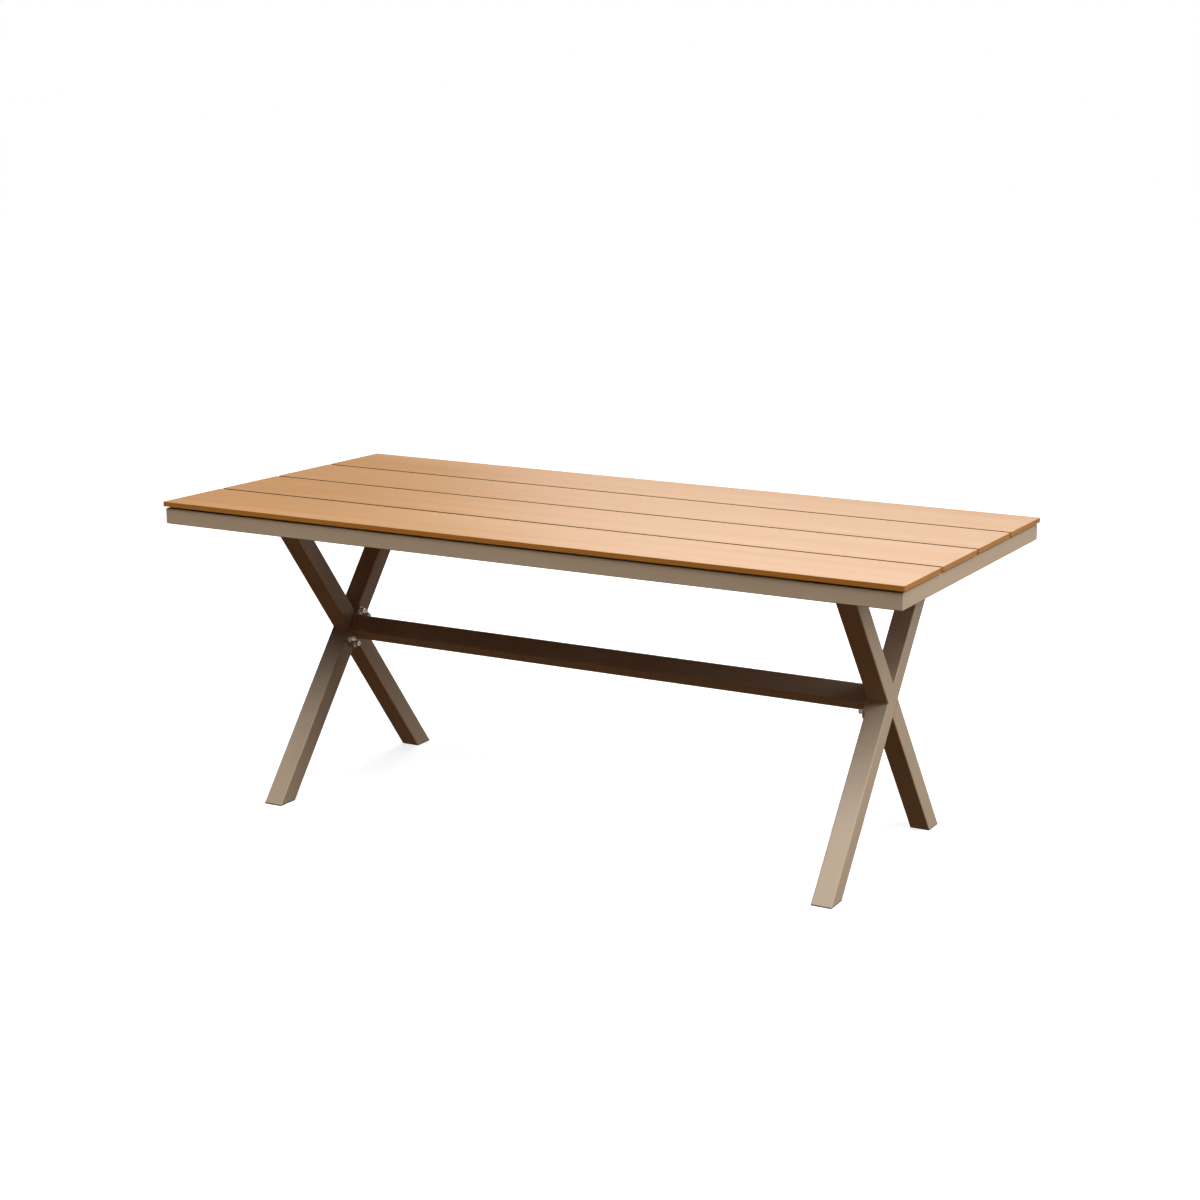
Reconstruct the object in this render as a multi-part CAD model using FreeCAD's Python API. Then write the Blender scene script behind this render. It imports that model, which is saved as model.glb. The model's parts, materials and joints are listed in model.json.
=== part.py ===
"""Outdoor dining table: four top boards on an apron frame, carried by two X-shaped
trestle legs that a square stretcher ties together.

Axes: X runs along the table, Y across it (the front is -Y) and Z up.
The origin lies on the floor under the middle of the top. All sizes are in millimetres.
"""
import FreeCAD
import Part

import math
import os

# ---------------------------------------------------------------- overall sizes
table_length = 1800.0           # along X, over the boards
table_depth = 840.0             # along Y, over the boards
table_height = 720.0            # floor to the upper face of the boards

# ---------------------------------------------------------------- top boards
board_count = 4
board_gap = 8.0
board_thickness = 11.0
board_edge_round = 0.8

# ---------------------------------------------------------------- apron frame
end_overhang = 5.0              # boards past the end aprons
side_overhang = 5.0             # boards past the front and back aprons
spacer_thickness = 4.0          # leaves the shadow line between aprons and boards
apron_height = 36.0
apron_width = 25.0
frame_wall = 1.6
frame_corner = 2.0              # outside corner radius of the frame tubes
leg_rail_width = 50.0           # cross rails that the legs bolt to
inner_rail_width = 30.0         # cross rails between them
inner_rail_count = 3
rail_spacer_width = 24.0
end_spacer_width = 12.0
spacer_end_gap = 6.0            # spacer strips stop short of the rail ends

# ---------------------------------------------------------------- X-shaped legs
leg_inset = 200.0               # end of the boards to the middle plane of a leg
leg_width = 48.0                # tube size along X
leg_depth = 45.0                # tube size in the plane of the X
leg_wall = 2.0
leg_corner = 3.0
crossing_height = 369.0
foot_spread = 571.0             # between the middles of the two feet at the floor
top_plate_thickness = 6.0
top_plate_overrun = 62.0        # plate past the outer edge of each leg top
foot_cap_thickness = 2.5        # rim of the plug, under the end of the tube
foot_plug_depth = 26.0          # plug inside the tube, measured along it
plug_clearance = 0.2            # each side, between plug and tube

# ---------------------------------------------------------------- stretcher
stretcher_size = 45.0
stretcher_wall = 2.0
stretcher_corner = 2.5
flange_thickness = 5.0
flange_corner = 8.0
flange_margin = 1.0             # flange past the leg tube, each side
flange_end_margin = 3.5         # flange past the washers
flange_tool_gap = 7.0           # between the stretcher and the washers
flange_washer_inset = 0.5       # washers back from the side faces of the long bar

# ---------------------------------------------------------------- fasteners
screw_diameter = 8.0            # M8 socket screws
screw_head_diameter = 13.0
screw_head_height = 8.0
screw_socket = 6.0              # across the flats
screw_socket_depth = 4.0
spring_washer_diameter = 12.8
spring_washer_thickness = 2.0
spring_washer_slot = 1.4
washer_diameter = 17.0
washer_thickness = 1.6
screw_hole_clearance = 0.5      # each side of the screw
insert_diameter = 11.0
insert_length = 14.0
insert_tail = 4.0               # screw past the end of the insert
plate_screw_end_inset = 26.0    # outer plate screws, from the end of the plate
plate_screw_leg_gap = 75.0      # inner plate screws, from the inner edge of a leg top
plate_screw_shift = 11.0        # plate screws outboard of the middle of the leg
board_screw_diameter = 4.8
board_screw_head_diameter = 9.0
board_screw_head_height = 3.0
board_screw_grip = 8.0          # length inside the board
board_screw_edge = 38.0         # from the long edge of a board
board_screw_shift = 13.0        # board screws inboard of the middle of a leg rail
board_screw_access = 12.0       # hole in the lower wall of a rail, for the driver

# ---------------------------------------------------------------- worked-out sizes
board_width = (table_depth - (board_count - 1) * board_gap) / board_count
board_underside = table_height - board_thickness
frame_top = board_underside - spacer_thickness
frame_underside = frame_top - apron_height
frame_half_length = table_length / 2 - end_overhang
frame_half_depth = table_depth / 2 - side_overhang
rail_half_span = frame_half_depth - apron_width
leg_x = table_length / 2 - leg_inset
leg_inner_face = leg_x - leg_width / 2
lean = math.atan2(foot_spread / 2, crossing_height)     # leg tubes from the vertical
leg_top = frame_underside - top_plate_thickness
leg_top_y = (leg_top - crossing_height) * math.tan(lean)
leg_cut_half = leg_depth / 2 / math.cos(lean)           # half of a level cut through a tube
top_plate_half = leg_top_y + leg_cut_half + top_plate_overrun
bar_reach = table_height + foot_spread                  # longer than any leg tube

flange_screw_across = leg_depth / 2 - flange_washer_inset - washer_diameter / 2
flange_screw_along = stretcher_size / 2 + flange_tool_gap + washer_diameter / 2
flange_half_length = flange_screw_along + washer_diameter / 2 + flange_end_margin
flange_half_width = max(leg_depth, stretcher_size) / 2 + flange_margin
screw_hole_diameter = screw_diameter + 2 * screw_hole_clearance

UP = FreeCAD.Vector(0, 0, 1)
ALONG = FreeCAD.Vector(1, 0, 0)
ACROSS = FreeCAD.Vector(0, 1, 0)
ORIGIN = FreeCAD.Vector(0, 0, 0)
SIDES = (("left", -1), ("right", 1))


# ---------------------------------------------------------------- helpers
def save(name, shapes):
    """Write one sub-part, either one solid or a group of separate solids."""
    if isinstance(shapes, list):
        shapes = Part.makeCompound(shapes)
    shapes.exportStep(os.path.join("parts", name + ".step"))


def box(low, high):
    """Box between two opposite corners."""
    size = [b - a for a, b in zip(low, high)]
    return Part.makeBox(size[0], size[1], size[2], FreeCAD.Vector(*low))


def rounded_prism(width, depth, length, radius):
    """Prism with a rounded rectangular section, centred on Z and standing on z = 0."""
    prism = Part.makeBox(width, depth, length, FreeCAD.Vector(-width / 2, -depth / 2, 0))
    if radius <= 0:
        return prism
    upright = [edge for edge in prism.Edges if abs(edge.BoundBox.ZLength - length) < 1e-6]
    return prism.makeFillet(radius, upright)


def rectangular_tube(width, depth, length, wall, radius):
    """Hollow version of rounded_prism."""
    outside = rounded_prism(width, depth, length, radius)
    inside = rounded_prism(width - 2 * wall, depth - 2 * wall, length, max(radius - wall, 0))
    return outside.cut(inside)


def lay_along_x(shape, start, y, z):
    """Turn a shape that stands on Z so that it runs along +X from start; its depth goes up."""
    turned = shape.copy()
    turned.rotate(ORIGIN, FreeCAD.Vector(1, 1, 1), 120)
    turned.translate(FreeCAD.Vector(start, y, z))
    return turned


def lay_along_y(shape, start, x, z):
    """Turn a shape that stands on Z so that it runs along +Y from start; its depth goes up."""
    turned = shape.copy()
    turned.rotate(ORIGIN, ALONG, -90)
    turned.translate(FreeCAD.Vector(x, start, z))
    return turned


def pin(diameter, length, base, direction):
    """Round pin, also used as the cutter for a hole."""
    return Part.makeCylinder(diameter / 2, length, base, direction)


def mirrored(shape, normal):
    """Copy of a shape on the other side of the table."""
    return shape.mirror(ORIGIN, normal)


def on_side(shape, side):
    """A shape drawn for the right-hand end, placed at the end that is asked for."""
    return shape if side > 0 else mirrored(shape, ALONG)


def cut_all(shape, cutters):
    """Take every cutter away from a shape."""
    return shape.cut(Part.makeCompound(cutters)) if cutters else shape


# ---------------------------------------------------------------- where the rails and screws lie
def board_middles():
    """Y of the middle of each board, from front to back."""
    pitch = board_width + board_gap
    return [(index - (board_count - 1) / 2) * pitch for index in range(board_count)]


def board_screw_rows():
    """Y of every board screw in one rail."""
    reach = board_width / 2 - board_screw_edge
    return [middle + sign * reach for middle in board_middles() for sign in (-1, 1)]


def inner_rail_places():
    """X of the cross rails between the legs."""
    pitch = 2 * leg_x / (inner_rail_count + 1)
    return [-leg_x + pitch * (index + 1) for index in range(inner_rail_count)]


def board_screw_columns():
    """X of the board screws, one column in each rail."""
    inboard = leg_x - board_screw_shift
    return [-inboard] + inner_rail_places() + [inboard]


def plate_screw_places():
    """X and Y of the screws in the top plate of the right-hand leg."""
    x = leg_x + plate_screw_shift
    outer = top_plate_half - plate_screw_end_inset
    inner = leg_top_y - leg_cut_half - plate_screw_leg_gap
    return [(x, sign * y) for y in (inner, outer) for sign in (-1, 1)]


def board_screw_holes(diameter, low, high):
    """Cutters at every board screw between two heights."""
    return [pin(diameter, high - low, FreeCAD.Vector(x, y, low), UP)
            for x in board_screw_columns() for y in board_screw_rows()]


# ---------------------------------------------------------------- top
def top_board(middle):
    """One board, with its long and short upper and lower edges rounded."""
    half = table_length / 2
    board = box((-half, middle - board_width / 2, board_underside),
                (half, middle + board_width / 2, table_height))
    board = board.makeFillet(board_edge_round, board.Edges)
    return cut_all(board, board_screw_holes(board_screw_diameter, board_underside,
                                            board_underside + board_screw_grip))


def side_apron(side):
    """Front or back apron, mitred at both ends."""
    length = 2 * frame_half_length
    tube = rectangular_tube(apron_width, apron_height, length, frame_wall, frame_corner)
    tube = lay_along_x(tube, -frame_half_length, -frame_half_depth + apron_width / 2,
                       frame_underside + apron_height / 2)
    front = tube.common(mitre_wedge(length, 2 * frame_half_depth))
    return mirrored(front, ACROSS) if side > 0 else front


def end_apron():
    """Right-hand apron, mitred at both ends."""
    length = 2 * frame_half_depth
    tube = rectangular_tube(apron_width, apron_height, length, frame_wall, frame_corner)
    tube = lay_along_y(tube, -frame_half_depth, frame_half_length - apron_width / 2,
                       frame_underside + apron_height / 2)
    length_x = 2 * frame_half_length
    return tube.cut(mitre_wedge(length_x, length)).cut(
        mirrored(mitre_wedge(length_x, length), ACROSS))


def mitre_wedge(length, depth):
    """Everything in front of the two mitre planes of the front apron."""
    reach = min(length, depth) / 2
    corner = FreeCAD.Vector(-length / 2, -depth / 2, 0)
    outline = [corner,
               corner + FreeCAD.Vector(length, 0, 0),
               corner + FreeCAD.Vector(length - reach, reach, 0),
               corner + FreeCAD.Vector(reach, reach, 0),
               corner]
    wedge = Part.Face(Part.makePolygon(outline)).extrude(UP * apron_height)
    wedge.translate(UP * frame_underside)
    return wedge


def cross_rail(x, width, screw_x):
    """Rail across the frame, drilled for the board screws and their driver."""
    tube = rectangular_tube(width, apron_height, 2 * rail_half_span, frame_wall, frame_corner)
    tube = lay_along_y(tube, -rail_half_span, x, frame_underside + apron_height / 2)
    cutters = []
    for y in board_screw_rows():
        through = FreeCAD.Vector(screw_x, y, frame_top - frame_wall)
        access = FreeCAD.Vector(screw_x, y, frame_underside)
        cutters.append(pin(board_screw_diameter, frame_wall, through, UP))
        cutters.append(pin(board_screw_access, frame_wall, access, UP))
    return cut_all(tube, cutters)


def leg_rail():
    """Right-hand rail that a leg bolts to, with holes for the threaded inserts."""
    rail = cross_rail(leg_x, leg_rail_width, leg_x - board_screw_shift)
    return cut_all(rail, [pin(insert_diameter, frame_wall, FreeCAD.Vector(x, y, frame_underside), UP)
                          for x, y in plate_screw_places()])


def spacer_strip(x, width, screw_x, half_length):
    """Strip that holds the boards clear of a rail."""
    strip = box((x - width / 2, -half_length, frame_top), (x + width / 2, half_length, board_underside))
    if screw_x is None:
        return strip
    return cut_all(strip, [pin(board_screw_diameter, spacer_thickness,
                               FreeCAD.Vector(screw_x, y, frame_top), UP)
                           for y in board_screw_rows()])


def board_screw(x, y):
    """Pan-head screw that comes up through a rail into a board."""
    head_top = frame_top - frame_wall
    shank = frame_wall + spacer_thickness + board_screw_grip
    head = pin(board_screw_head_diameter, board_screw_head_height,
               FreeCAD.Vector(x, y, head_top - board_screw_head_height), UP)
    return head.fuse(pin(board_screw_diameter, shank, FreeCAD.Vector(x, y, head_top), UP))


# ---------------------------------------------------------------- legs
def lean_over(shape, direction):
    """Tip a shape that stands on Z to the lean of a leg, about the crossing."""
    leaned = shape.copy()
    leaned.rotate(ORIGIN, ALONG, -direction * math.degrees(lean))
    leaned.translate(FreeCAD.Vector(leg_x, 0, crossing_height))
    return leaned


def leg_prism(width, depth, radius, direction):
    """Solid bar along the line of a leg tube, longer than the tube at both ends."""
    bar = rounded_prism(width, depth, 2 * bar_reach, radius)
    bar.translate(UP * -bar_reach)
    return lean_over(bar, direction)


def leg_slab(low, high):
    """Level slab that trims the leg tubes between two heights."""
    return box((leg_x - leg_width, -bar_reach, low), (leg_x + leg_width, bar_reach, high))


def leg_tube(direction):
    """Leg tube from foot to top plate, cut level at both ends."""
    outside = leg_prism(leg_width, leg_depth, leg_corner, direction)
    inside = leg_prism(leg_width - 2 * leg_wall, leg_depth - 2 * leg_wall,
                       max(leg_corner - leg_wall, 0), direction)
    return outside.cut(inside).common(leg_slab(foot_cap_thickness, leg_top))


def long_bar():
    """The tube that runs unbroken from the front foot to the back of the top."""
    return cut_all(leg_tube(1), [pin(insert_diameter, leg_wall,
                                     FreeCAD.Vector(leg_inner_face, y, z), ALONG)
                                 for y, z in flange_screw_places()])


def short_bars():
    """The two tubes of the other diagonal, cut against the long bar: lower, then upper."""
    halves = leg_tube(-1).cut(leg_prism(leg_width * 2, leg_depth, 0, 1))
    return sorted(halves.Solids, key=lambda solid: solid.CenterOfMass.z)


def top_plate():
    """Flat plate welded across the tops of a leg, drilled for the frame screws."""
    plate = box((leg_x - leg_width / 2, -top_plate_half, leg_top),
                (leg_x + leg_width / 2, top_plate_half, frame_underside))
    return cut_all(plate, [pin(screw_hole_diameter, top_plate_thickness,
                               FreeCAD.Vector(x, y, leg_top), UP)
                           for x, y in plate_screw_places()])


def foot_plug(direction):
    """Plastic plug in the lower end of a leg tube, with a rim that stands on the floor."""
    inner_width = leg_width - 2 * (leg_wall + plug_clearance)
    inner_depth = leg_depth - 2 * (leg_wall + plug_clearance)
    rise = foot_plug_depth * math.cos(lean)
    inner_corner = max(leg_corner - leg_wall, 0)
    stem = leg_prism(inner_width, inner_depth, inner_corner, direction).common(leg_slab(0, rise))
    rim = leg_prism(leg_width, leg_depth, leg_corner, direction).common(
        leg_slab(0, foot_cap_thickness))
    return rim.fuse(stem).removeSplitter()


# ---------------------------------------------------------------- stretcher
def flange_screw_places():
    """Y and Z of the four screws in a stretcher flange."""
    along = (math.sin(lean), math.cos(lean))
    across = (math.cos(lean), -math.sin(lean))
    places = []
    for a in (-flange_screw_along, flange_screw_along):
        for b in (-flange_screw_across, flange_screw_across):
            places.append((a * along[0] + b * across[0],
                           crossing_height + a * along[1] + b * across[1]))
    return places


def stretcher_tube():
    """Square tube between the flanges, turned to the lean of the long bars."""
    length = 2 * (leg_inner_face - flange_thickness)
    tube = rectangular_tube(stretcher_size, stretcher_size, length, stretcher_wall, stretcher_corner)
    tube = lay_along_x(tube, -length / 2, 0, 0)
    tube.rotate(ORIGIN, ALONG, -math.degrees(lean))
    tube.translate(UP * crossing_height)
    return tube


def stretcher_flange():
    """Plate on the inner face of the long bar, welded to the end of the stretcher."""
    plate = rounded_prism(2 * flange_half_width, 2 * flange_half_length, flange_thickness,
                          flange_corner)
    plate = lay_along_x(plate, leg_inner_face - flange_thickness, 0, 0)
    plate.rotate(ORIGIN, ALONG, -math.degrees(lean))
    plate.translate(UP * crossing_height)
    return cut_all(plate, [pin(screw_hole_diameter, flange_thickness,
                               FreeCAD.Vector(leg_inner_face - flange_thickness, y, z), ALONG)
                           for y, z in flange_screw_places()])


# ---------------------------------------------------------------- fasteners
# Each is drawn along +Z with the seat of its washer stack at z = 0, and pointing up.
def socket_screw(seat_depth):
    """Socket-head screw; seat_depth is what it clamps between its washers and the insert."""
    stack = washer_thickness + spring_washer_thickness
    length = stack + seat_depth + insert_length + insert_tail
    head = pin(screw_head_diameter, screw_head_height, UP * -(stack + screw_head_height), UP)
    radius = screw_socket / math.sqrt(3)
    corners = [FreeCAD.Vector(radius * math.cos(math.radians(60 * k)),
                              radius * math.sin(math.radians(60 * k)), 0) for k in range(7)]
    socket = Part.Face(Part.makePolygon(corners)).extrude(UP * screw_socket_depth)
    socket.translate(UP * -(stack + screw_head_height))
    shank = pin(screw_diameter, length, UP * -stack, UP)
    return head.cut(socket).fuse(shank)


def ring(outer, inner, thickness, low):
    """Flat ring that starts at height low."""
    return pin(outer, thickness, UP * low, UP).cut(pin(inner, thickness, UP * low, UP))


def flat_washer():
    return ring(washer_diameter, screw_hole_diameter, washer_thickness, -washer_thickness)


def spring_washer():
    """Split ring under the screw head."""
    low = -washer_thickness - spring_washer_thickness
    split = box((0, -spring_washer_slot / 2, low),
                (spring_washer_diameter, spring_washer_slot / 2, -washer_thickness))
    return ring(spring_washer_diameter, screw_diameter, spring_washer_thickness, low).cut(split)


def threaded_insert(seat_depth):
    """Flush rivet nut that the screw threads into."""
    return ring(insert_diameter, screw_diameter, insert_length, seat_depth)


def under_plates(shape):
    """Copies of an upright fastener at every top plate screw of both legs."""
    copies = []
    for x, y in plate_screw_places():
        for sign in (-1, 1):
            copy = shape.copy()
            copy.translate(FreeCAD.Vector(sign * x, y, leg_top))
            copies.append(copy)
    return copies


def on_flanges(shape):
    """Copies of a fastener, turned to point outward, at every flange screw."""
    copies = []
    for y, z in flange_screw_places():
        copy = shape.copy()
        copy.rotate(ORIGIN, ACROSS, 90)
        copy.translate(FreeCAD.Vector(leg_inner_face - flange_thickness, y, z))
        copies += [copy, mirrored(copy, ALONG)]
    return copies


# ---------------------------------------------------------------- the table
def make_top():
    for number, middle in enumerate(board_middles(), start=1):
        save("top_board_%d" % number, top_board(middle))
    save("board_screws", [board_screw(x, y) for x in board_screw_columns()
                          for y in board_screw_rows()])


def make_frame():
    save("front_apron", side_apron(-1))
    save("back_apron", side_apron(1))
    rail_strip_half = rail_half_span - spacer_end_gap
    for name, side in SIDES:
        screw_x = leg_x - board_screw_shift
        save(name + "_apron", on_side(end_apron(), side))
        save(name + "_leg_rail", on_side(leg_rail(), side))
        save(name + "_leg_rail_spacer", on_side(
            spacer_strip(leg_x - board_screw_shift, rail_spacer_width, screw_x, rail_strip_half), side))
        save(name + "_apron_spacer", on_side(
            spacer_strip(frame_half_length - apron_width / 2, end_spacer_width, None,
                         rail_strip_half), side))
    for number, x in enumerate(inner_rail_places(), start=1):
        save("cross_rail_%d" % number, cross_rail(x, inner_rail_width, x))
        save("cross_rail_%d_spacer" % number,
             spacer_strip(x, rail_spacer_width, x, rail_strip_half))


def make_legs():
    lower, upper = short_bars()
    for name, side in SIDES:
        save(name + "_leg_long_bar", on_side(long_bar(), side))
        save(name + "_leg_lower_bar", on_side(lower, side))
        save(name + "_leg_upper_bar", on_side(upper, side))
        save(name + "_leg_top_plate", on_side(top_plate(), side))
        save(name + "_front_foot_plug", on_side(foot_plug(1), side))
        save(name + "_back_foot_plug", on_side(foot_plug(-1), side))
    save("leg_screws", under_plates(socket_screw(top_plate_thickness)))
    save("leg_screw_spring_washers", under_plates(spring_washer()))
    save("leg_screw_washers", under_plates(flat_washer()))
    save("leg_screw_inserts", under_plates(threaded_insert(top_plate_thickness)))


def make_stretcher():
    save("stretcher_tube", stretcher_tube())
    for name, side in SIDES:
        save(name + "_stretcher_flange", on_side(stretcher_flange(), side))
    save("stretcher_screws", on_flanges(socket_screw(flange_thickness)))
    save("stretcher_spring_washers", on_flanges(spring_washer()))
    save("stretcher_washers", on_flanges(flat_washer()))
    save("stretcher_inserts", on_flanges(threaded_insert(flange_thickness)))


os.makedirs("parts", exist_ok=True)
make_top()
make_frame()
make_legs()
make_stretcher()
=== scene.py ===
# %% [markdown]
# # An outdoor dining table on X-shaped legs
#
# The real table is bolted together from a few welded parts: a rectangular frame of powder-coated
# tube, four long wood-look boards screwed to it from below, two X-shaped legs, and a square
# stretcher set on edge between them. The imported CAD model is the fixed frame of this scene. It
# already has every tube at its true size, so nothing here moves it. This lesson adds what a
# machine drawing leaves out: soft board edges and grain, weld beads, knurled screws with split
# washers, moulded foot plugs, and a finish made of shader nodes for every surface.

# %% Load the fixed frame
import json
import math
import random

import bmesh
import bpy
from mathutils import Matrix, Quaternion, Vector


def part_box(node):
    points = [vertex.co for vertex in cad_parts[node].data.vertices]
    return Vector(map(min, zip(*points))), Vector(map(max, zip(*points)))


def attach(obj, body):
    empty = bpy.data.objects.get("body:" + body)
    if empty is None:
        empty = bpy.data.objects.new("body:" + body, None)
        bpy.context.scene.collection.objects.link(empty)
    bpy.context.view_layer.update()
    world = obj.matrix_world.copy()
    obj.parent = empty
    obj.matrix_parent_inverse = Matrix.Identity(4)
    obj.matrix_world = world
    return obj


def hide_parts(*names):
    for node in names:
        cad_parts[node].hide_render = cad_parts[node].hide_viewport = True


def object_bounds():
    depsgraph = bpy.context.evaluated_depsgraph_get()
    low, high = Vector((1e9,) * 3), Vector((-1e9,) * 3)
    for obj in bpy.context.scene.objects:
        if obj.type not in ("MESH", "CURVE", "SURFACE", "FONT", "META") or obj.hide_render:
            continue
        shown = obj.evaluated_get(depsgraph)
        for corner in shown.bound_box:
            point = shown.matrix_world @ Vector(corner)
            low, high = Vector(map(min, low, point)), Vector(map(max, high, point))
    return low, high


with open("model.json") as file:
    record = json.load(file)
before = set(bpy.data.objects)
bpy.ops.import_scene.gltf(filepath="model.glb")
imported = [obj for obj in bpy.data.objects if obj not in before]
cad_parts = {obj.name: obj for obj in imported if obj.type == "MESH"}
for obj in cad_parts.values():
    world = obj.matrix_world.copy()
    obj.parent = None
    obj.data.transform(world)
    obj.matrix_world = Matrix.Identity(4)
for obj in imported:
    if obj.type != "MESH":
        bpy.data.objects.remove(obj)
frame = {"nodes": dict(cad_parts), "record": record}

cad_low, cad_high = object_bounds()
MM = 0.001
table_size = cad_high - cad_low
print("nodes:", len(frame["nodes"]), "size:", [round(value, 3) for value in table_size])

# %% [markdown]
# ## A small helper for shader nodes
#
# Every finish here is a node tree. Written out in full, a tree is mostly lines that make a node,
# set a value and join a link. These helpers take that up, so that each finish below reads as a
# list of what it does. Values that are the same all over a surface stay on the shader's own
# sockets, where other programs can read them too.


# %% Node helpers
def new_finish(name, color, roughness, metallic=0.0, specular=0.5):
    """A material with a Principled shader whose plain values sit on its own sockets."""
    material = bpy.data.materials.new(name)
    material.use_nodes = True
    shader = material.node_tree.nodes["Principled BSDF"]
    shader.inputs["Base Color"].default_value = (*color, 1.0)
    shader.inputs["Roughness"].default_value = roughness
    shader.inputs["Metallic"].default_value = metallic
    shader.inputs["Specular IOR Level"].default_value = specular
    material.diffuse_color = (*color, 1.0)
    return material, material.node_tree, shader


def add_node(tree, kind, inputs=None, **options):
    """Add a shader node; inputs maps a socket's name or number to a value or to an output."""
    node = tree.nodes.new("ShaderNode" + kind)
    for option, value in options.items():
        setattr(node, option, value)
    for socket, value in (inputs or {}).items():
        if isinstance(value, bpy.types.NodeSocket):
            tree.links.new(value, node.inputs[socket])
        else:
            node.inputs[socket].default_value = value
    return node


def math_node(tree, operation, first, second):
    """One sum on two values or outputs."""
    return add_node(tree, "Math", {0: first, 1: second}, operation=operation).outputs[0]


def place_on_piece(tree, scale, offset=(0.0, 0.0, 0.0)):
    """Object coordinates in metres, stretched and shifted by a Mapping node."""
    place = add_node(tree, "TexCoord").outputs["Object"]
    return add_node(tree, "Mapping", {"Vector": place, "Location": offset,
                                      "Scale": scale}).outputs["Vector"]


def noise(tree, scale, detail=2.0, offset=(0.0, 0.0, 0.0)):
    """Noise with scale[i] grains per metre along each axis."""
    return add_node(tree, "TexNoise", {"Vector": place_on_piece(tree, scale, offset), "Scale": 1.0,
                                       "Detail": detail, "Roughness": 0.55}).outputs["Fac"]


def spread(tree, factor, low, high):
    """Map the middle part of a noise, 0.3 to 0.7, onto low to high."""
    return add_node(tree, "MapRange", {"Value": factor, "From Min": 0.3, "From Max": 0.7,
                                       "To Min": low, "To Max": high}).outputs["Result"]


def blend_colors(tree, factor, first, second):
    """Mix two colours by a factor."""
    node = add_node(tree, "Mix", {"Factor": factor}, data_type="RGBA")
    for socket, value in ((node.inputs[6], first), (node.inputs[7], second)):
        if isinstance(value, bpy.types.NodeSocket):
            tree.links.new(value, socket)
        else:
            socket.default_value = (*value, 1.0)
    return node.outputs[2]


def shade_color(tree, shader, color, factor):
    """Multiply a colour by a value that varies over the piece, and join it to the shader."""
    shaded = add_node(tree, "VectorMath", {0: color, "Scale": factor}, operation="SCALE")
    tree.links.new(shaded.outputs["Vector"], shader.inputs["Base Color"])


def add_bump(tree, shader, height, distance):
    """Join a height to the shader as bump; distance is the full depth in metres."""
    bump = add_node(tree, "Bump", {"Height": height, "Distance": distance, "Strength": 1.0})
    tree.links.new(bump.outputs["Normal"], shader.inputs["Normal"])


# %% [markdown]
# ## The wood-look finish
#
# The boards carry a printed teak pattern under a satin lacquer. It is calm: slow bands a few
# centimetres wide, fine streaks, and short pores, all running lengthwise. An image of wood would
# need a UV map and would repeat. Here each scale is the same solid noise stretched far more along
# X than across, so it runs unbroken over the rounded edges. The face is given paler colours than
# the sides, partly a painted sheen for the lacquer's grazing reflection, so the normal's height
# picks between two colours. In the gaps between the boards the sides are painted nearly black,
# painted shade for the shadow in the narrow gaps. Distance from the middle of the table tells an
# outer side from one in a gap.

# %% Board colours, each from dark streak to pale streak
# the face colours are paler than the side colours, partly a painted sheen for the lacquer's grazing
# reflection
FACE_COLORS_WITH_PAINTED_SHEEN = ((0.430, 0.214, 0.078), (0.550, 0.312, 0.150))
SIDE_COLORS = ((0.350, 0.125, 0.006), (0.495, 0.190, 0.014))
# painted shade: near-black for the board sides inside the narrow gaps, where shadow falls
GAP_PAINTED_SHADE = (0.012, 0.004, 0.001)
OUTER_ZONE = 5 * MM             # sides this near to the table's outline are outer sides


# %% Board finish
def beyond(tree, coordinate, limit):
    """One where a coordinate is further from the middle than a limit, and zero elsewhere."""
    return math_node(tree, "GREATER_THAN", math_node(tree, "ABSOLUTE", coordinate, 0.0), limit)


def make_board_finish():
    material, tree, shader = new_finish("teak_board", (0.52, 0.29, 0.13), 0.42)
    bands = noise(tree, (0.7, 22.0, 22.0), 3.0, (2.0, 5.0, 1.0))
    streaks = noise(tree, (2.2, 150.0, 150.0), 5.0, (4.0, 1.0, 2.0))
    pores = noise(tree, (22.0, 1100.0, 1100.0), 2.0, (1.0, 7.0, 3.0))
    tone = math_node(tree, "MULTIPLY", math_node(tree, "ADD", bands, streaks), 0.5)
    factor = spread(tree, tone, 0.0, 1.0)
    face = blend_colors(tree, factor, *FACE_COLORS_WITH_PAINTED_SHEEN)
    side = blend_colors(tree, factor, *SIDE_COLORS)
    normal = add_node(tree, "NewGeometry").outputs["Normal"]
    upward = add_node(tree, "SeparateXYZ", {"Vector": normal}).outputs["Z"]
    painted_sheen_on_face = add_node(tree, "MapRange", {"Value": math_node(tree, "ABSOLUTE", upward, 0.0),
                                          "From Min": 0.35, "From Max": 0.95}).outputs["Result"]
    place = add_node(tree, "SeparateXYZ", {"Vector": place_on_piece(tree, (1.0, 1.0, 1.0))})
    long_side = beyond(tree, place.outputs["Y"], table_size.y / 2 - OUTER_ZONE)
    short_end = beyond(tree, place.outputs["X"], table_size.x / 2 - OUTER_ZONE)
    outer = math_node(tree, "MAXIMUM", long_side, short_end)
    # painted shade: sides away from the table's outline, inside the gaps, take the near-black colour
    side = blend_colors(tree, outer, GAP_PAINTED_SHADE, side)
    # painted sheen: upward faces take the paler face colours
    color = blend_colors(tree, painted_sheen_on_face, side, face)
    shade_color(tree, shader, color, spread(tree, pores, 0.93, 1.04))
    tree.links.new(spread(tree, streaks, 0.36, 0.47), shader.inputs["Roughness"])
    height = math_node(tree, "ADD", streaks, pores)
    add_bump(tree, shader, height, 0.03 * MM)
    return material


teak_board = make_board_finish()
print("finish:", teak_board.name, "with", len(teak_board.node_tree.nodes), "nodes")

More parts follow.
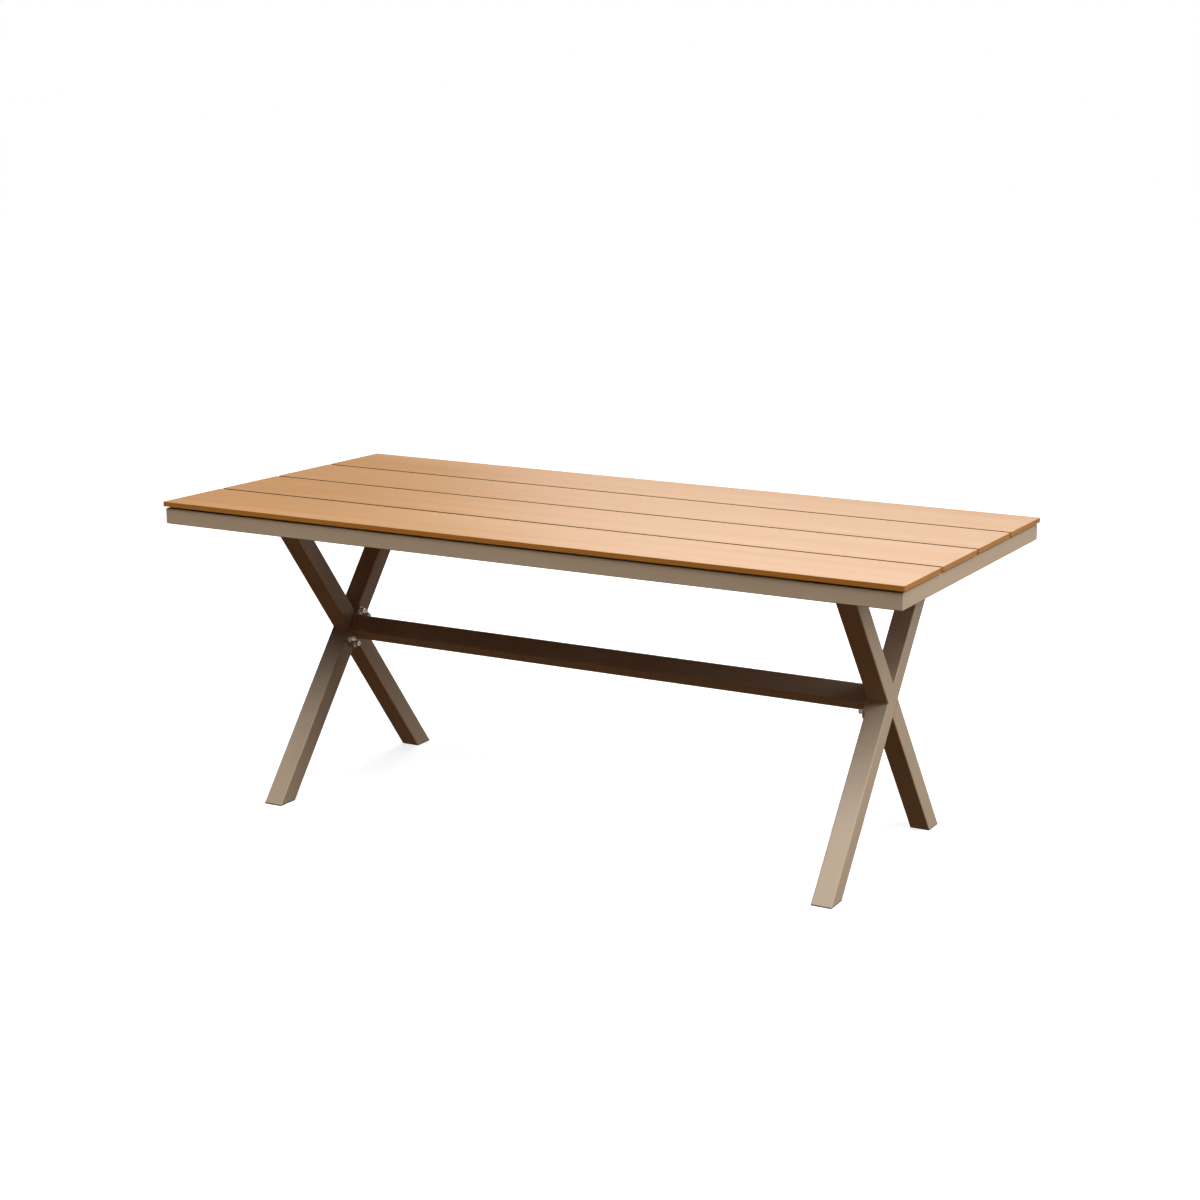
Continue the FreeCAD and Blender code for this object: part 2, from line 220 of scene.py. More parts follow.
# %% [markdown]
# ## Powder coat
#
# The frame and legs have a satin powder coat in a warm champagne brown. Close up, powder coat is
# never flat: it has an orange-peel skin with cells of about a millimetre, a faint metallic fleck,
# and its colour drifts slightly along a tube as the coat gets thicker or thinner. Three noises at
# those three scales give the fleck, the peel and the drift. The frame and the legs are coated
# in separate batches, so each gets its own material with a slightly different tone.


# %% Powder coat finish
FLECKS_PER_METRE = 2600.0
PEEL_CELLS_PER_METRE = 620.0


def make_powder_coat(name, color, offset):
    material, tree, shader = new_finish(name, color, 0.42)
    drift = noise(tree, (3.0, 5.0, 5.0), 3.0, offset)
    fleck = noise(tree, [FLECKS_PER_METRE] * 3, 1.0, offset)
    peel = noise(tree, [PEEL_CELLS_PER_METRE] * 3, 1.0, offset)
    shade = math_node(tree, "MULTIPLY", spread(tree, drift, 0.95, 1.05),
                      spread(tree, fleck, 0.94, 1.06))
    shade_color(tree, shader, color, shade)
    tree.links.new(spread(tree, drift, 0.38, 0.47), shader.inputs["Roughness"])
    add_bump(tree, shader, peel, 0.035 * MM)
    return material


frame_coat = make_powder_coat("frame_coat", (0.490, 0.376, 0.256), (0.0, 0.0, 0.0))
leg_coat = make_powder_coat("leg_coat", (0.515, 0.397, 0.275), (3.0, 8.0, 5.0))
print("finishes:", frame_coat.name, leg_coat.name)

# %% [markdown]
# ## Steel, zinc, rubber and plastic
#
# The small parts set off the large ones. The screws and washers are bright stainless steel with
# fine turning marks, the inserts are duller zinc plate, the spacer strips are black rubber, and
# the foot plugs are a dark moulded plastic with a faint spark-eroded grain. A metal takes its
# look from what it mirrors, so its colour hardly varies and its roughness and bump do the work.
# The dull ones vary mostly in colour.


# %% Metal, rubber and plastic finishes
def make_metal(name, color, roughness):
    material, tree, shader = new_finish(name, color, roughness, metallic=1.0)
    marks = noise(tree, (900.0, 900.0, 3000.0), 2.0)
    tint = noise(tree, (120.0, 120.0, 120.0), 2.0)
    shade_color(tree, shader, color, spread(tree, tint, 0.90, 1.06))
    tree.links.new(spread(tree, marks, roughness - 0.06, roughness + 0.08),
                   shader.inputs["Roughness"])
    add_bump(tree, shader, marks, 0.012 * MM)
    return material


def make_dull(name, color, roughness, grain):
    material, tree, shader = new_finish(name, color, roughness)
    texture = noise(tree, (grain, grain, grain), 2.0)
    shade_color(tree, shader, color, spread(tree, texture, 0.75, 1.25))
    tree.links.new(spread(tree, texture, roughness - 0.08, roughness + 0.08),
                   shader.inputs["Roughness"])
    add_bump(tree, shader, texture, 0.06 * MM)
    return material


stainless = make_metal("stainless_steel", (0.90, 0.89, 0.86), 0.28)
zinc_plate = make_metal("zinc_plate", (0.68, 0.66, 0.60), 0.36)
spacer_rubber = make_dull("spacer_rubber", (0.014, 0.013, 0.012), 0.75, 800.0)
foot_plastic = make_dull("foot_plastic", (0.045, 0.036, 0.028), 0.50, 1400.0)

# %% [markdown]
# ## Dressing the CAD parts
#
# A CAD part whose shape is right stays as it is and only changes its clothes. The record names a
# finish slot for every node, so one table from slot to material dresses them all. The new pieces
# look their finish up in the same table, which keeps a weld the same colour as its tube.

# %% Dress the CAD nodes by slot
finish_of_slot = {
    "wood_look_board": teak_board,
    "coated_frame": frame_coat,
    "coated_legs": leg_coat,
    "stainless_fasteners": stainless,
    "plated_inserts": zinc_plate,
    "black_spacer": spacer_rubber,
    "foot_plastic": foot_plastic,
}
for subpart in frame["record"]["subparts"]:
    node_object = frame["nodes"][subpart["node"]]
    for material_slot in node_object.material_slots:
        material_slot.material = finish_of_slot[subpart["material_slot"]]

# %% [markdown]
# ## Floor, light and camera
#
# The table stands on a white sweep: a floor that curves up into a white wall, so that no horizon
# shows. Here the floor is a flat disc that glows a little more the further out it lies, and the
# world behind it is white where the camera looks. Two soft boxes stand in front, one on the right,
# one overhead on the left, and one behind the table, whose grazing reflection washes the boards
# pale. The disc itself lights nothing. The world's lower half stands in for it: a dim warm light
# from straight below, where the table shades the floor, keeps the undersides deep, and a pale
# floor further out shows only in reflections, where the bright screws pick it up.


# %% Soft box helper
LIGHT_DISTANCE = 5.0            # metres
LIGHT_AIM = Vector((0.0, 0.0, 0.4))


def soft_box(name, size, power, azimuth, elevation):
    """Area light aimed at the middle of the legs; angles in degrees, from the front."""
    turn, rise = math.radians(azimuth), math.radians(elevation)
    outward = Vector((math.sin(turn) * math.cos(rise), -math.cos(turn) * math.cos(rise),
                      math.sin(rise)))
    light = bpy.data.lights.new(name, "AREA")
    light.shape = "RECTANGLE"
    light.size, light.size_y = size
    light.energy = power
    lamp = bpy.data.objects.new(name, light)
    lamp.location = LIGHT_AIM + LIGHT_DISTANCE * outward
    lamp.rotation_euler = (-outward).to_track_quat("-Z", "Y").to_euler()
    bpy.context.scene.collection.objects.link(lamp)


# %% Lights
soft_box("front_left_box", (2.4, 2.4), 114.0, -20.0, 50.0)
soft_box("front_right_box", (2.4, 2.4), 149.0, 60.0, 50.0)
soft_box("side_box", (2.4, 2.4), 100.0, 100.0, 25.0)
soft_box("top_box", (2.4, 2.4), 98.0, -90.0, 72.0)
soft_box("back_box", (4.0, 2.4), 104.0, 190.0, 35.0)
print("lights:", len(bpy.data.lights))

# %% Floor
floor_radius = 40.0
glow_starts, glow_full = 1.0, 5.0       # metres from the middle
glow_at_table = 0.74

floor_mesh = bpy.data.meshes.new("floor")
floor_bm = bmesh.new()
bmesh.ops.create_circle(floor_bm, cap_ends=True, segments=96, radius=floor_radius)
floor_bm.to_mesh(floor_mesh)
floor_bm.free()
floor = bpy.data.objects.new("floor", floor_mesh)
bpy.context.scene.collection.objects.link(floor)

floor_paint, floor_tree, floor_shader = new_finish("floor_paint", (0.62, 0.62, 0.62), 0.8)
floor_shader.inputs["Emission Color"].default_value = (1.0, 1.0, 1.0, 1.0)
from_middle = add_node(floor_tree, "VectorMath", {0: place_on_piece(floor_tree, (1.0, 1.0, 1.0))},
                       operation="LENGTH").outputs["Value"]
glow = add_node(floor_tree, "MapRange", {"Value": from_middle, "From Min": glow_starts,
                                         "From Max": glow_full, "To Min": glow_at_table,
                                         "To Max": 1.0}).outputs["Result"]
floor_tree.links.new(glow, floor_shader.inputs["Emission Strength"])
floor_mesh.materials.append(floor_paint)
floor.visible_diffuse = False
floor.visible_glossy = False
print("floor radius:", floor_radius)

# %% World
under_table_light = (0.106, 0.054, 0.028)
far_floor_mirrored = (0.66, 0.58, 0.52)

world = bpy.data.worlds.new("studio")
world.use_nodes = True
sky = world.node_tree
direction = add_node(sky, "TexCoord").outputs["Generated"]
height_seen = add_node(sky, "SeparateXYZ", {"Vector": direction}).outputs["Z"]
below = math_node(sky, "LESS_THAN", height_seen, 0.0)
seen_by_camera = add_node(sky, "LightPath").outputs["Is Camera Ray"]
mirrored = add_node(sky, "LightPath").outputs["Is Glossy Ray"]
far_out = add_node(sky, "MapRange", {"Value": height_seen, "From Min": -0.50,
                                     "From Max": -0.25}).outputs["Result"]
pale_floor = math_node(sky, "MULTIPLY", mirrored, far_out)
floor_light = blend_colors(sky, pale_floor, under_table_light, far_floor_mirrored)
bounce = blend_colors(sky, below, (0.0, 0.0, 0.0), floor_light)
sky_color = blend_colors(sky, seen_by_camera, bounce, (1.0, 1.0, 1.0))
sky.links.new(sky_color, sky.nodes["Background"].inputs["Color"])
bpy.context.scene.world = world
bpy.context.scene.view_settings.view_transform = "Standard"
print("world:", world.name)

# %% [markdown]
# The camera stands low and to the right of the front, about five metres away. A normal lens on a
# 36 mm sensor keeps the far end of the table nearly as large as the near end. The table sits left
# of the lens axis, so the sensor is shifted a little instead of turning the camera.

# %% Camera
camera_azimuth = 26.39          # degrees, from straight in front towards the right
camera_elevation = 12.65
camera_roll = 0.79
camera_distance = 4.912         # metres
camera_aim = Vector((0.191, 0.132, 0.506))
camera_lens, camera_sensor = 64.17, 36.0        # millimetres
camera_shift = -0.0833          # of the sensor's width

camera_data = bpy.data.cameras.new("camera")
camera_data.lens = camera_lens
camera_data.sensor_width = camera_sensor
camera_data.shift_x = camera_shift
camera = bpy.data.objects.new("camera", camera_data)
azimuth, elevation = math.radians(camera_azimuth), math.radians(camera_elevation)
back = Vector((math.sin(azimuth) * math.cos(elevation), -math.cos(azimuth) * math.cos(elevation),
               math.sin(elevation)))
camera.rotation_mode = "QUATERNION"
camera.location = camera_aim + back * camera_distance
camera.rotation_quaternion = ((-back).to_track_quat("-Z", "Y")
                              @ Quaternion((0, 0, 1), math.radians(camera_roll)))
bpy.context.scene.collection.objects.link(camera)
bpy.context.scene.camera = camera
print("camera at", [round(value, 2) for value in camera.location])

# %% [markdown]
# ## Helpers for the pieces
#
# Nearly every small part of this table is a ring that is pushed along an axis: a screw, a washer,
# a weld bead. `grow_ring` extrudes the open edge of a ring, moves the new ring on and scales it
# about its own middle, which is the same move as E, G, S in the editor. `finish_piece` turns
# a bmesh into an object that rides on the frame's one body and takes its finish from a slot.


# %% Piece helpers
def finish_piece(name, bm, slot, *replaced, sharp=38.0, flat_above=1.0):
    """Make a bmesh a piece of the table. Faces are shaded soft, except across edges that turn
    by more than the sharp angle, and except faces larger than flat_above, in square metres."""
    bmesh.ops.recalc_face_normals(bm, faces=bm.faces[:])
    mesh = bpy.data.meshes.new(name)
    bm.to_mesh(mesh)
    bm.free()
    mesh.set_sharp_from_angle(angle=math.radians(sharp))
    mesh.polygons.foreach_set("use_smooth", [face.area < flat_above for face in mesh.polygons])
    mesh.materials.append(finish_of_slot[slot])
    piece = bpy.data.objects.new(name, mesh)
    bpy.context.scene.collection.objects.link(piece)
    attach(piece, "root")
    if replaced:
        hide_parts(*replaced)
    print(f"{name}: {len(mesh.polygons)} faces")
    return piece


def new_ring(bm, segments, radius, place=None):
    """Open ring of edges in the XY plane; returns its edges."""
    made = bmesh.ops.create_circle(bm, segments=segments, radius=radius,
                                   matrix=place or Matrix.Identity(4))
    return list({edge for vert in made["verts"] for edge in vert.link_edges})


def ring_verts(edges):
    return list({vert for edge in edges for vert in edge.verts})


def ring_middle(edges):
    verts = ring_verts(edges)
    return sum((vert.co for vert in verts), Vector()) / len(verts)


def grow_ring(bm, edges, shift, factor=1.0):
    """Extrude a ring by shift and scale the new one about its middle; returns its edges."""
    made = bmesh.ops.extrude_edge_only(bm, edges=edges)["geom"]
    verts = [part for part in made if isinstance(part, bmesh.types.BMVert)]
    grown = [part for part in made if isinstance(part, bmesh.types.BMEdge)]
    bmesh.ops.translate(bm, vec=shift, verts=verts)
    middle = ring_middle(grown)
    bmesh.ops.scale(bm, vec=(factor, factor, factor), space=Matrix.Translation(-middle),
                    verts=verts)
    return grown


def close_ring(bm, edges):
    bmesh.ops.edgeloop_fill(bm, edges=edges)


def stamp(bm, pattern, place):
    """Add a copy of a finished mesh at a place."""
    count = len(bm.verts)
    bm.from_mesh(pattern)
    bm.verts.ensure_lookup_table()
    bmesh.ops.transform(bm, matrix=place, verts=bm.verts[count:])


def solids_in(node):
    """Low and high corners of every separate solid in a CAD node, read from a merged copy."""
    bm = bmesh.new()
    bm.from_mesh(frame["nodes"][node].data)
    bmesh.ops.remove_doubles(bm, verts=bm.verts[:], dist=0.001 * MM)
    waiting = set(bm.verts)
    boxes = []
    while waiting:
        island = {waiting.pop()}
        edge_of_island = list(island)
        while edge_of_island:
            vert = edge_of_island.pop()
            for edge in vert.link_edges:
                other = edge.other_vert(vert)
                if other in waiting:
                    waiting.remove(other)
                    island.add(other)
                    edge_of_island.append(other)
        corners = [[function(vert.co[axis] for vert in island) for axis in range(3)]
                   for function in (min, max)]
        boxes.append((Vector(corners[0]), Vector(corners[1])))
    bm.free()
    return sorted(boxes, key=lambda corners: tuple(round(value, 4) for value in corners[0]))


# %% [markdown]
# ## The boards
#
# Each board is a long flat section with its edges just eased, so a thin line of light runs along
# every arris. The corners of the plan are eased a little more than the long edges. A box with
# bevelled edges gives that: first the four upright corners, then everything else. Soft shading
# would bend the light over a whole face towards its narrow bevels, and the top would look
# quilted, so `finish_piece` keeps every face above a certain area flat.

# %% Make the boards
board_edge = 0.5 * MM
board_corner = 3.0 * MM
broad_face = 40 * MM * MM
for number in range(1, 5):
    node = f"top_board_{number}"
    low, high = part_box(node)
    board = bmesh.new()
    bmesh.ops.create_cube(board, size=1.0)
    bmesh.ops.scale(board, vec=high - low, verts=board.verts)
    bmesh.ops.translate(board, vec=(low + high) / 2, verts=board.verts)
    upright = [edge for edge in board.edges
               if abs(edge.verts[0].co.z - edge.verts[1].co.z) > 1 * MM]
    bmesh.ops.bevel(board, geom=upright, offset=board_corner, offset_type="OFFSET", segments=4,
                    profile=0.5, affect="EDGES", material=-1)
    level = [edge for edge in board.edges
             if len(edge.link_faces) == 2 and edge.calc_face_angle() > math.radians(60)]
    bmesh.ops.bevel(board, geom=level, offset=board_edge, offset_type="OFFSET", segments=3,
                    profile=0.5, affect="EDGES", material=-1)
    finish_piece(f"board_{number}", board, "wood_look_board", node, flat_above=broad_face)

# %% [markdown]
# ## Socket screws
#
# Sixteen M8 socket screws hold the table together: eight through the leg plates into the frame,
# and eight through the flanges of the stretcher. The head is knurled so that it can be started by
# hand, with a chamfer above and below, and a six-sided socket with a small lead-in. It is modelled
# once as a run of rings from the socket's floor outwards, then stamped at each screw's place, which
# comes from the CAD solid that it replaces.


# %% Model one screw
def socket_screw(length):
    """Screw along +Z with the face of its head at z = 0 and its tip at z = length."""
    head_radius, head_height = 6.5 * MM, 8.0 * MM
    face_radius = head_radius - 0.8 * MM
    socket_radius = 6.0 * MM / math.sqrt(3)
    socket_depth, lead_in_depth, lead_in_factor = 4.0 * MM, 0.35 * MM, 1.10
    shank_radius, shank_length = 4.0 * MM, 4.0 * MM
    knurl_depth, knurl_sides = 0.30 * MM, 48
    under_head, tip = 0.95, 0.78            # sizes of the last chamfers, of the radius
    pitch, thread_root = 1.25 * MM, 0.87
    bm = bmesh.new()
    lead_in = new_ring(bm, 6, socket_radius * lead_in_factor)
    rim = new_ring(bm, knurl_sides, face_radius)
    bmesh.ops.triangle_fill(bm, use_beauty=True, use_dissolve=False, edges=lead_in + rim)
    socket = grow_ring(bm, lead_in, (0, 0, lead_in_depth), 1 / lead_in_factor)
    socket = grow_ring(bm, socket, (0, 0, socket_depth - lead_in_depth))
    close_ring(bm, socket)
    side = grow_ring(bm, rim, (0, 0, 0.7 * MM), head_radius / face_radius)
    for height, sunk in ((1.0, True), (7.0, True), (7.3, False)):
        at = height * MM - ring_middle(side).z
        side = grow_ring(bm, side, (0, 0, at))
        for vert in ring_verts(side):
            angle = math.atan2(vert.co.y, vert.co.x)
            step = round(angle / (2 * math.pi) * knurl_sides)
            radius = head_radius - (knurl_depth if sunk and step % 2 else 0.0)
            vert.co.x, vert.co.y = radius * math.cos(angle), radius * math.sin(angle)
    side = grow_ring(bm, side, (0, 0, head_height - 7.3 * MM), under_head)
    side = grow_ring(bm, side, (0, 0, 0), shank_radius / (under_head * head_radius))
    side = grow_ring(bm, side, (0, 0, shank_length))
    turns = int((length - head_height - shank_length - 1.5 * MM) / pitch)
    for _ in range(turns):
        side = grow_ring(bm, side, (0, 0, 0.48 * pitch), thread_root)
        side = grow_ring(bm, side, (0, 0, 0.52 * pitch), 1 / thread_root)
    side = grow_ring(bm, side, (0, 0, length - ring_middle(side).z), tip)
    close_ring(bm, side)
    mesh = bpy.data.meshes.new("screw_pattern")
    bm.to_mesh(mesh)
    bm.free()
    return mesh


def axis_place(start, towards):
    """Matrix that carries +Z onto a direction, with the origin at start."""
    turn = Vector(towards).to_track_quat("Z", "Y").to_matrix().to_4x4()
    return Matrix.Translation(start) @ turn


def stack_places(node):
    """Start point, direction and length of each fastener solid. The leg's fasteners point
    upwards, and the stretcher's point out from the middle of the table."""
    places = []
    for low, high in solids_in(node):
        middle = (low + high) / 2
        if node.startswith("leg"):
            places.append((Vector((middle.x, middle.y, low.z)), Vector((0, 0, 1)), high.z - low.z))
        else:
            side = 1.0 if middle.x > 0 else -1.0
            start = Vector((low.x if side > 0 else high.x, middle.y, middle.z))
            places.append((start, Vector((side, 0, 0)), high.x - low.x))
    return places


# %% Stamp the screws
for node in ("leg_screws", "stretcher_screws"):
    places = stack_places(node)
    screw_mesh = socket_screw(places[0][2])
    screws = bmesh.new()
    for start, towards, _ in places:
        stamp(screws, screw_mesh, axis_place(start, towards))
    bpy.data.meshes.remove(screw_mesh)
    finish_piece(f"{node}_knurled", screws, "stainless_fasteners", node, sharp=25.0)

# %% [markdown]
# ## Washers
#
# Under each head sit a split spring washer and a flat washer. The flat one is stamped from sheet,
# so its edges are slightly rounded: four rings and a chamfer, bridged shut through the hole. The
# spring washer is a square wire wound almost once round and flattened. Spin does exactly that, and
# its `dvec` lifts each step a little, so that the two ends of the split don't quite meet.


# %% Model the two washers
def flat_washer(thickness):
    outer, inner, edge = 8.5 * MM, 4.3 * MM, 0.30 * MM
    bm = bmesh.new()
    first = new_ring(bm, 40, inner)
    ring = grow_ring(bm, first, (0, 0, 0), (outer - edge) / inner)
    ring = grow_ring(bm, ring, (0, 0, edge), outer / (outer - edge))
    ring = grow_ring(bm, ring, (0, 0, thickness - 2 * edge))
    ring = grow_ring(bm, ring, (0, 0, edge), (outer - edge) / outer)
    last = grow_ring(bm, ring, (0, 0, 0), inner / (outer - edge))
    bmesh.ops.bridge_loops(bm, edges=first + last)
    mesh = bpy.data.meshes.new("flat_washer_pattern")
    bm.to_mesh(mesh)
    bm.free()
    return mesh


def spring_washer(thickness):
    outer, inner = 6.4 * MM, 4.25 * MM
    wire_edge = 0.25 * MM
    lift = 0.45 * MM
    split = 1.4 * MM / outer
    steps = 36
    bm = bmesh.new()
    width = outer - inner
    height = thickness - lift
    middle = Vector(((outer + inner) / 2, 0.0, height / 2))
    turn = Matrix.Rotation(math.radians(90), 4, "X")
    made = bmesh.ops.create_grid(bm, x_segments=1, y_segments=1, size=0.5,
                                 matrix=Matrix.Translation(middle) @ turn)
    bmesh.ops.scale(bm, vec=(width, 1.0, height), space=Matrix.Translation(-middle),
                    verts=made["verts"])
    bmesh.ops.bevel(bm, geom=bm.verts[:], offset=wire_edge, offset_type="OFFSET", segments=2,
                    profile=0.5, affect="VERTICES", material=-1)
    bmesh.ops.spin(bm, geom=bm.faces[:] + bm.edges[:] + bm.verts[:], cent=(0, 0, 0),
                   axis=(0, 0, 1), dvec=(0, 0, lift / steps), angle=2 * math.pi - split,
                   steps=steps)
    bmesh.ops.recalc_face_normals(bm, faces=bm.faces[:])
    mesh = bpy.data.meshes.new("spring_washer_pattern")
    bm.to_mesh(mesh)
    bm.free()
    return mesh


# %% Stamp the washers, each turned as it happened to be screwed down
random.seed(7)
washer_kinds = {
    "leg_screw_washers": flat_washer,
    "stretcher_washers": flat_washer,
    "leg_screw_spring_washers": spring_washer,
    "stretcher_spring_washers": spring_washer,
}
for node, model in washer_kinds.items():
    places = stack_places(node)
    pattern = model(places[0][2])
    washers = bmesh.new()
    for start, towards, _ in places:
        spin_about = Matrix.Rotation(random.uniform(0, 2 * math.pi), 4, "Z")
        stamp(washers, pattern, axis_place(start, towards) @ spin_about)
    bpy.data.meshes.remove(pattern)
    finish_piece(f"{node}_finished", washers, "stainless_fasteners", node, sharp=30.0)

# %% [markdown]
# ## Weld beads
#
# The tubes are welded before they are coated, and the coat follows every ripple of the bead. On
# the broad outer faces of the X the weld is ground flat, but in the four notches of the crossing,
# round the ends of the stretcher and inside the frame the beads are left. A bead is a ring pushed
# along the joint in steps of about a millimetre that swells and shrinks once every three steps, with
# a small random wander from the welder's hand. Half of it lies inside the metal, as in a real
# weld, where the two have melted into one.

# %% Model a bead
BEAD_STEP = 1.1 * MM
STEPS_PER_RIPPLE = 3
END_SIZE, END_GAIN = 0.45, 0.22         # size at the ends, and what each step adds to it
SIZE_WANDER = 0.04
PLACE_WANDER = 0.05 * MM


def add_bead(bm, start, end, radius, sides=8, ripple_height=0.11):
    """Bead between two points, with rounded ends; a ground bead has no ripples."""
    start, end = Vector(start), Vector(end)
    run = end - start
    steps = max(6, round(run.length / BEAD_STEP))
    turn = run.to_track_quat("Z", "Y").to_matrix().to_4x4()
    sizes = []
    for index in range(steps + 1):
        from_end = min(index, steps - index)
        taper = min(1.0, END_SIZE + END_GAIN * from_end)
        ripple = 1.0 + ripple_height * math.cos(2 * math.pi * index / STEPS_PER_RIPPLE)
        sizes.append(taper * ripple * random.uniform(1 - SIZE_WANDER, 1 + SIZE_WANDER))
    ring = new_ring(bm, sides, radius * sizes[0], Matrix.Translation(start) @ turn)
    close_ring(bm, ring)
    for before, size in zip(sizes, sizes[1:]):
        wander = Vector([random.uniform(-PLACE_WANDER, PLACE_WANDER) for _ in range(3)])
        ring = grow_ring(bm, ring, run / steps + wander, size / before)
    close_ring(bm, ring)


# %% [markdown]
# The joint lines come from the shape of the leg itself. Both tubes of an X lean by the same angle,
# so their edges cross at four points round the middle of the crossing: two at the height of the
# crossing, in front and behind, and two straight above and below it.

# %% Weld the legs
leg_tube_depth = 45.0 * MM
foot_spread = 571.0 * MM
bead_inset = 1.5 * MM
crossing = Vector((0.0, 0.0, 369.0 * MM))
lean = math.atan2(foot_spread / 2, crossing.z)
notch_y = leg_tube_depth / 2 / math.cos(lean)
notch_z = leg_tube_depth / 2 / math.sin(lean)
notches = ((-notch_y, 0.0), (notch_y, 0.0), (0.0, notch_z), (0.0, -notch_z))
for side_name in ("left", "right"):
    bar_low, bar_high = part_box(f"{side_name}_leg_long_bar")
    plate_low, plate_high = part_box(f"{side_name}_leg_top_plate")
    start_x, end_x = bar_low.x + bead_inset, bar_high.x - bead_inset
    beads = bmesh.new()
    for y, z in notches:
        add_bead(beads, (start_x, y, crossing.z + z), (end_x, y, crossing.z + z), 1.9 * MM)
    top_y = (plate_low.z - crossing.z) * math.tan(lean)
    for middle_y in (-top_y, top_y):
        for edge_y in (middle_y - notch_y, middle_y + notch_y):
            add_bead(beads, (start_x, edge_y, plate_low.z), (end_x, edge_y, plate_low.z), 2.3 * MM)
    finish_piece(f"{side_name}_leg_welds", beads, "coated_legs", sharp=80.0)

# %% Weld the stretcher to its flanges
stretcher_half = 22.5 * MM
along = Vector((0.0, math.sin(lean), math.cos(lean)))
across = Vector((0.0, math.cos(lean), -math.sin(lean)))
tube_low, tube_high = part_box("stretcher_tube")
stretcher_beads = bmesh.new()
for end_x in (tube_low.x, tube_high.x):
    for normal, tangent in ((along, across), (across, along)):
        for sign in (-1, 1):
            middle = Vector((end_x, 0.0, crossing.z)) + sign * stretcher_half * normal
            reach = (stretcher_half - bead_inset) * tangent
            add_bead(stretcher_beads, middle - reach, middle + reach, 2.4 * MM)
finish_piece("stretcher_welds", stretcher_beads, "coated_legs", sharp=80.0)

# %% Weld the frame
apron_low, apron_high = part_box("front_apron")
back_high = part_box("back_apron")[1]
frame_half_x = apron_high.x
frame_half_y = back_high.y
apron_width = 25.0 * MM
bead_end, arris_end = 3.0 * MM, 1.2 * MM        # how far a bead stops short of the tube's edge
arris_inset = 0.35 * MM
frame_beads = bmesh.new()
bead_low, bead_high = apron_low.z + bead_end, apron_high.z - bead_end
arris_low, arris_high = apron_low.z + arris_end, apron_high.z - arris_end
for rail in ("left_leg_rail", "cross_rail_1", "cross_rail_2", "cross_rail_3", "right_leg_rail"):
    rail_low, rail_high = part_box(rail)
    for x in (rail_low.x, rail_high.x):
        for y in (rail_low.y, rail_high.y):
            add_bead(frame_beads, (x, y, bead_low), (x, y, bead_high), 2.2 * MM)
for sign_x in (-1, 1):
    for sign_y in (-1, 1):
        inside = (sign_x * (frame_half_x - apron_width), sign_y * (frame_half_y - apron_width))
        add_bead(frame_beads, (*inside, bead_low), (*inside, bead_high), 2.4 * MM)
        outside = (sign_x * (frame_half_x - arris_inset), sign_y * (frame_half_y - arris_inset))
        add_bead(frame_beads, (*outside, arris_low), (*outside, arris_high), 0.75 * MM,
                 ripple_height=0.0)
finish_piece("frame_welds", frame_beads, "coated_frame", sharp=80.0)

# %% [markdown]
# ## Foot plugs
#
# Each leg tube ends in a moulded plug. Its rim is cut level with the floor although the tube leans,
# so in plan it is longer than the tube is deep. From below one sees a flat tread round a sunk
# groove with a pad in the middle. An inset would fold over itself in the small round corners, so
# the plug is a run of rounded rings instead: from the pad out over the tread, up round the rim, up
# the stem that grips inside the tube, and down again inside the hollow stem. A shear along Y
# then leans it like its leg.


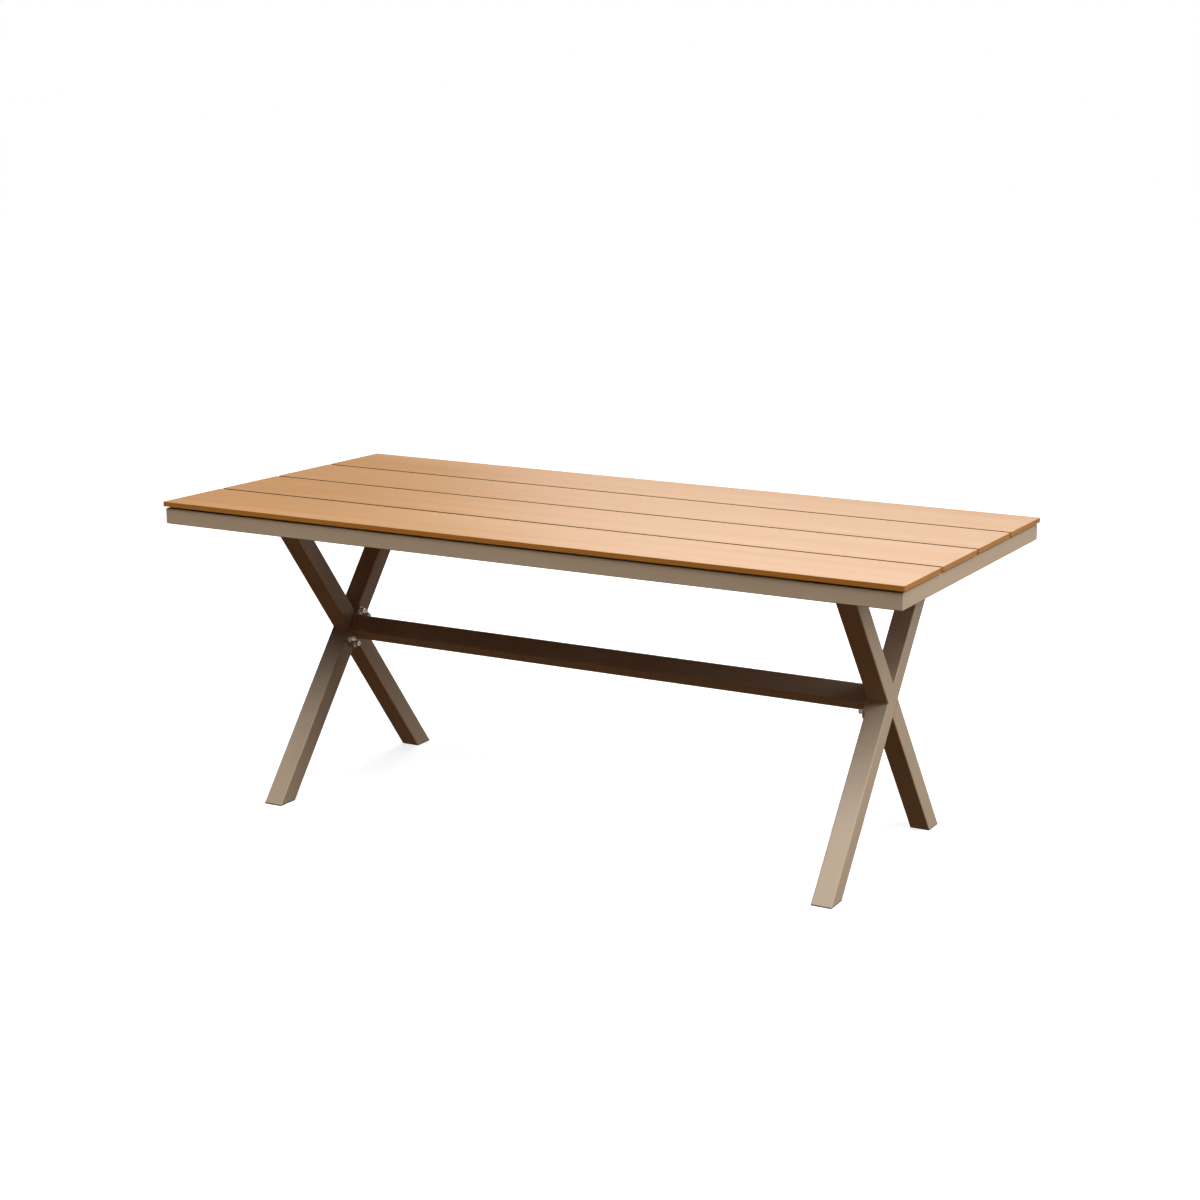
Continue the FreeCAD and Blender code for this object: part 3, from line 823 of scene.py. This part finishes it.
# %% Model a foot plug
def rounded_ring(bm, size_x, size_y, radius):
    """Ring of edges round a rectangle with rounded corners, in the XY plane."""
    made = bmesh.ops.create_grid(bm, x_segments=1, y_segments=1, size=0.5)
    bmesh.ops.scale(bm, vec=(size_x, size_y, 1.0), verts=made["verts"])
    bmesh.ops.bevel(bm, geom=made["verts"], offset=radius, offset_type="OFFSET", segments=4,
                    profile=0.5, affect="VERTICES", material=-1)
    return bm.edges[:]


def grow_to(bm, edges, size_x, size_y, height):
    """Extrude a ring to a height and give the new one the size that is asked for."""
    grown = grow_ring(bm, edges, (0.0, 0.0, height - ring_middle(edges).z))
    verts = ring_verts(grown)
    wide = max(vert.co.x for vert in verts) * 2
    deep = max(vert.co.y for vert in verts) * 2
    bmesh.ops.scale(bm, vec=(size_x / wide, size_y / deep, 1.0), verts=verts)
    return grown


def foot_plug(node, bar):
    """Replace one plug; the bar whose tube it closes gives its width and the rim's height."""
    pad_inset, pad_corner = 9.0 * MM, 2.0 * MM
    low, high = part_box(node)
    bar_low, bar_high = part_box(bar)
    inward = 1.0 if low.y < 0 else -1.0
    outer_y = low.y if inward > 0 else high.y
    width, depth = bar_high.x - bar_low.x, 2 * notch_y
    rim, top = bar_low.z, high.z
    # each ring: how far it lies inside the rim, and its height
    rings = ((8.6 * MM, 1.2 * MM), (4.4 * MM, 1.2 * MM), (4.0 * MM, 0.0), (0.6 * MM, 0.0),
             (0.0, 0.6 * MM), (0.0, rim), (2.25 * MM, rim), (2.25 * MM, top - 1.0 * MM),
             (2.9 * MM, top), (4.8 * MM, top), (4.8 * MM, rim + 2.0 * MM))
    plug = bmesh.new()
    edges = rounded_ring(plug, width - 2 * pad_inset, depth - 2 * pad_inset, pad_corner)
    for inset, height in rings:
        edges = grow_to(plug, edges, width - 2 * inset, depth - 2 * inset, height)
    close_ring(plug, edges)
    shear = Matrix.Identity(4)
    shear[1][2] = inward * math.tan(lean)
    middle = Vector(((low.x + high.x) / 2, outer_y + inward * depth / 2, 0.0))
    bmesh.ops.transform(plug, matrix=Matrix.Translation(middle) @ shear, verts=plug.verts)
    finish_piece(node.replace("_plug", "_rim"), plug, "foot_plastic", node, sharp=35.0)


# %% Make the four foot plugs
for side_name in ("left", "right"):
    for place_name in ("front", "back"):
        foot_plug(f"{side_name}_{place_name}_foot_plug", f"{side_name}_leg_long_bar")

# %% Update the scene
bpy.context.view_layer.update()
